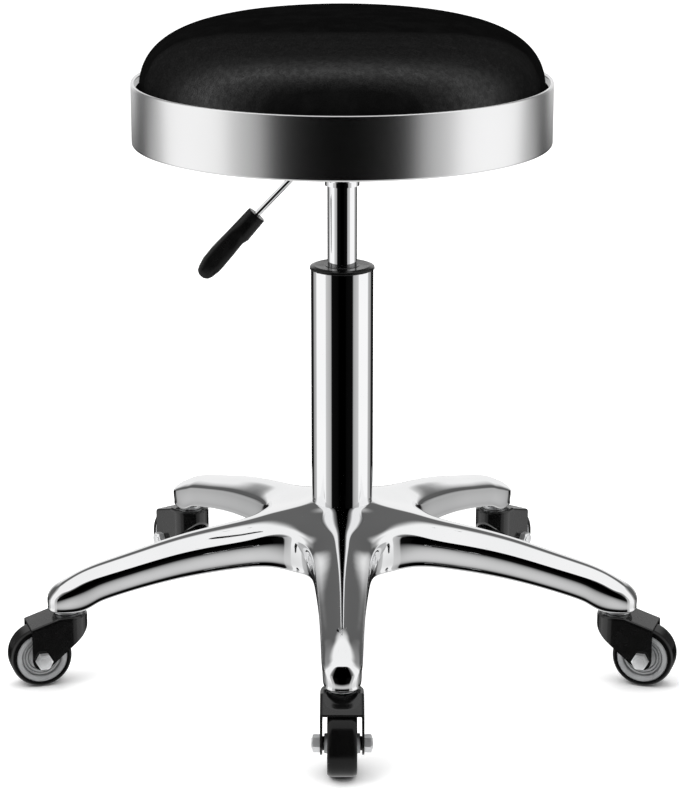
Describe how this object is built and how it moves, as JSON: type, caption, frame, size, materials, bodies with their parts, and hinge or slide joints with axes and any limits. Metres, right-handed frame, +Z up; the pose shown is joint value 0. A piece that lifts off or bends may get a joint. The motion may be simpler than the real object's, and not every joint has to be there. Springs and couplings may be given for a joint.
{
  "type": "rolling stylist stool",
  "caption": "Round black padded stool on a gas-lift chrome column with a side lever and a polished star base on swivel casters.",
  "frame": {"origin": "on the column's axis at floor level, under the middle of the base", "axes": "+Z up along the column; -Y along the front arm; -X is the side the height lever reaches out on"},
  "size_m": [0.5474, 0.5209, 0.5365],
  "materials": {
    "polished_aluminium": "mirror polished casting",
    "chrome_plate": "bright chrome plate",
    "polished_stainless": "polished",
    "zinc_steel": "bright zinc",
    "ground_steel": "ground",
    "black_enamel": "semi-gloss enamel",
    "black_plastic": "fine satin moulding",
    "white_nylon": "satin",
    "wheel_grey": "satin moulding",
    "black_tread": "satin",
    "black_rubber": "matt",
    "black_leather": "fine grain, semi-gloss",
    "foam": "open cell",
    "plywood": "raw birch",
    "dust_cloth": "non-woven"
  },
  "bodies": {
    "base": {"star_base": "polished_aluminium", "column_tube": "chrome_plate", "guide_bush": "black_plastic", "lower_race": "ground_steel", "thrust_balls": "ground_steel", "caster_stems": "zinc_steel", "swivel_balls": "ground_steel"},
    "lift_rod": {"piston_rod": "ground_steel", "piston": "white_nylon", "upper_race": "ground_steel", "rubber_bumper": "black_rubber", "retaining_clip": "zinc_steel"},
    "seat": {"pressure_tube": "chrome_plate", "rod_guide": "white_nylon", "valve_block": "ground_steel", "cone_socket": "chrome_plate", "seat_plate": "black_enamel", "plate_bolts": "zinc_steel", "board_nuts": "zinc_steel", "seat_board": "plywood", "seat_foam": "foam", "seat_cover": "black_leather", "dust_cover": "dust_cloth", "trim_ring": "polished_stainless", "ring_screws": "zinc_steel", "lever_bushes": "white_nylon"},
    "lever": {"lever_rod": "chrome_plate", "lever_grip": "black_plastic"},
    "release_button": {"release_pin": "ground_steel"},
    "caster_1": {"caster_fork_1": "black_enamel", "axle_bolt_1": "zinc_steel", "axle_nut_1": "zinc_steel", "axle_sleeve_1": "black_plastic"},
    "wheel_1": {"wheel_tread_1": "black_tread", "wheel_hub_1": "wheel_grey"},
    "caster_2": {"caster_fork_2": "black_enamel", "axle_bolt_2": "zinc_steel", "axle_nut_2": "zinc_steel", "axle_sleeve_2": "black_plastic"},
    "wheel_2": {"wheel_tread_2": "black_tread", "wheel_hub_2": "wheel_grey"},
    "caster_3": {"caster_fork_3": "black_enamel", "axle_bolt_3": "zinc_steel", "axle_nut_3": "zinc_steel", "axle_sleeve_3": "black_plastic"},
    "wheel_3": {"wheel_tread_3": "black_tread", "wheel_hub_3": "wheel_grey"},
    "caster_4": {"caster_fork_4": "black_enamel", "axle_bolt_4": "zinc_steel", "axle_nut_4": "zinc_steel", "axle_sleeve_4": "black_plastic"},
    "wheel_4": {"wheel_tread_4": "black_tread", "wheel_hub_4": "wheel_grey"},
    "caster_5": {"caster_fork_5": "black_enamel", "axle_bolt_5": "zinc_steel", "axle_nut_5": "zinc_steel", "axle_sleeve_5": "black_plastic"},
    "wheel_5": {"wheel_tread_5": "black_tread", "wheel_hub_5": "wheel_grey"}
  },
  "joints": [
    {"name": "seat_swivel", "type": "hinge", "parent": "base", "child": "lift_rod", "pos_m": [0, 0, 0.085], "axis": [0, 0, 1], "continuous": true},
    {"name": "seat_lift", "type": "slide", "parent": "lift_rod", "child": "seat", "axis": [0, 0, 1], "range_m": [-0.06, 0.06]},
    {"name": "lever_lift", "type": "hinge", "parent": "seat", "child": "lever", "pos_m": [-0.03, 0, 0.41466], "axis": [0, 1, 0], "range_deg": [0, 7], "stiffness_Nm_per_rad": 1},
    {"name": "button_press", "type": "slide", "parent": "seat", "child": "release_button", "axis": [0, 0, -1], "range_m": [0, 0.0045]},
    {"name": "caster_swivel_1", "type": "hinge", "parent": "base", "child": "caster_1", "pos_m": [0, -0.2366, 0.058], "axis": [0, 0, 1], "continuous": true},
    {"name": "wheel_spin_1", "type": "hinge", "parent": "caster_1", "child": "wheel_1", "pos_m": [0, -0.26, 0.025], "axis": [1, 0, 0], "continuous": true},
    {"name": "caster_swivel_2", "type": "hinge", "parent": "base", "child": "caster_2", "pos_m": [0.22502, -0.07311, 0.058], "axis": [0, 0, 1], "continuous": true},
    {"name": "wheel_spin_2", "type": "hinge", "parent": "caster_2", "child": "wheel_2", "pos_m": [0.24727, -0.08034, 0.025], "axis": [0.309, 0.9511, 0], "continuous": true},
    {"name": "caster_swivel_3", "type": "hinge", "parent": "base", "child": "caster_3", "pos_m": [0.13907, 0.19141, 0.058], "axis": [0, 0, 1], "continuous": true},
    {"name": "wheel_spin_3", "type": "hinge", "parent": "caster_3", "child": "wheel_3", "pos_m": [0.15282, 0.21034, 0.025], "axis": [-0.809, 0.5878, 0], "continuous": true},
    {"name": "caster_swivel_4", "type": "hinge", "parent": "base", "child": "caster_4", "pos_m": [-0.13907, 0.19141, 0.058], "axis": [0, 0, 1], "continuous": true},
    {"name": "wheel_spin_4", "type": "hinge", "parent": "caster_4", "child": "wheel_4", "pos_m": [-0.15282, 0.21034, 0.025], "axis": [-0.809, -0.5878, 0], "continuous": true},
    {"name": "caster_swivel_5", "type": "hinge", "parent": "base", "child": "caster_5", "pos_m": [-0.22502, -0.07311, 0.058], "axis": [0, 0, 1], "continuous": true},
    {"name": "wheel_spin_5", "type": "hinge", "parent": "caster_5", "child": "wheel_5", "pos_m": [-0.24727, -0.08034, 0.025], "axis": [0.309, -0.9511, 0], "continuous": true}
  ],
  "couplings": [
    {"joint": "button_press", "follows": "lever_lift", "m_per_rad": 0.033}
  ]
}
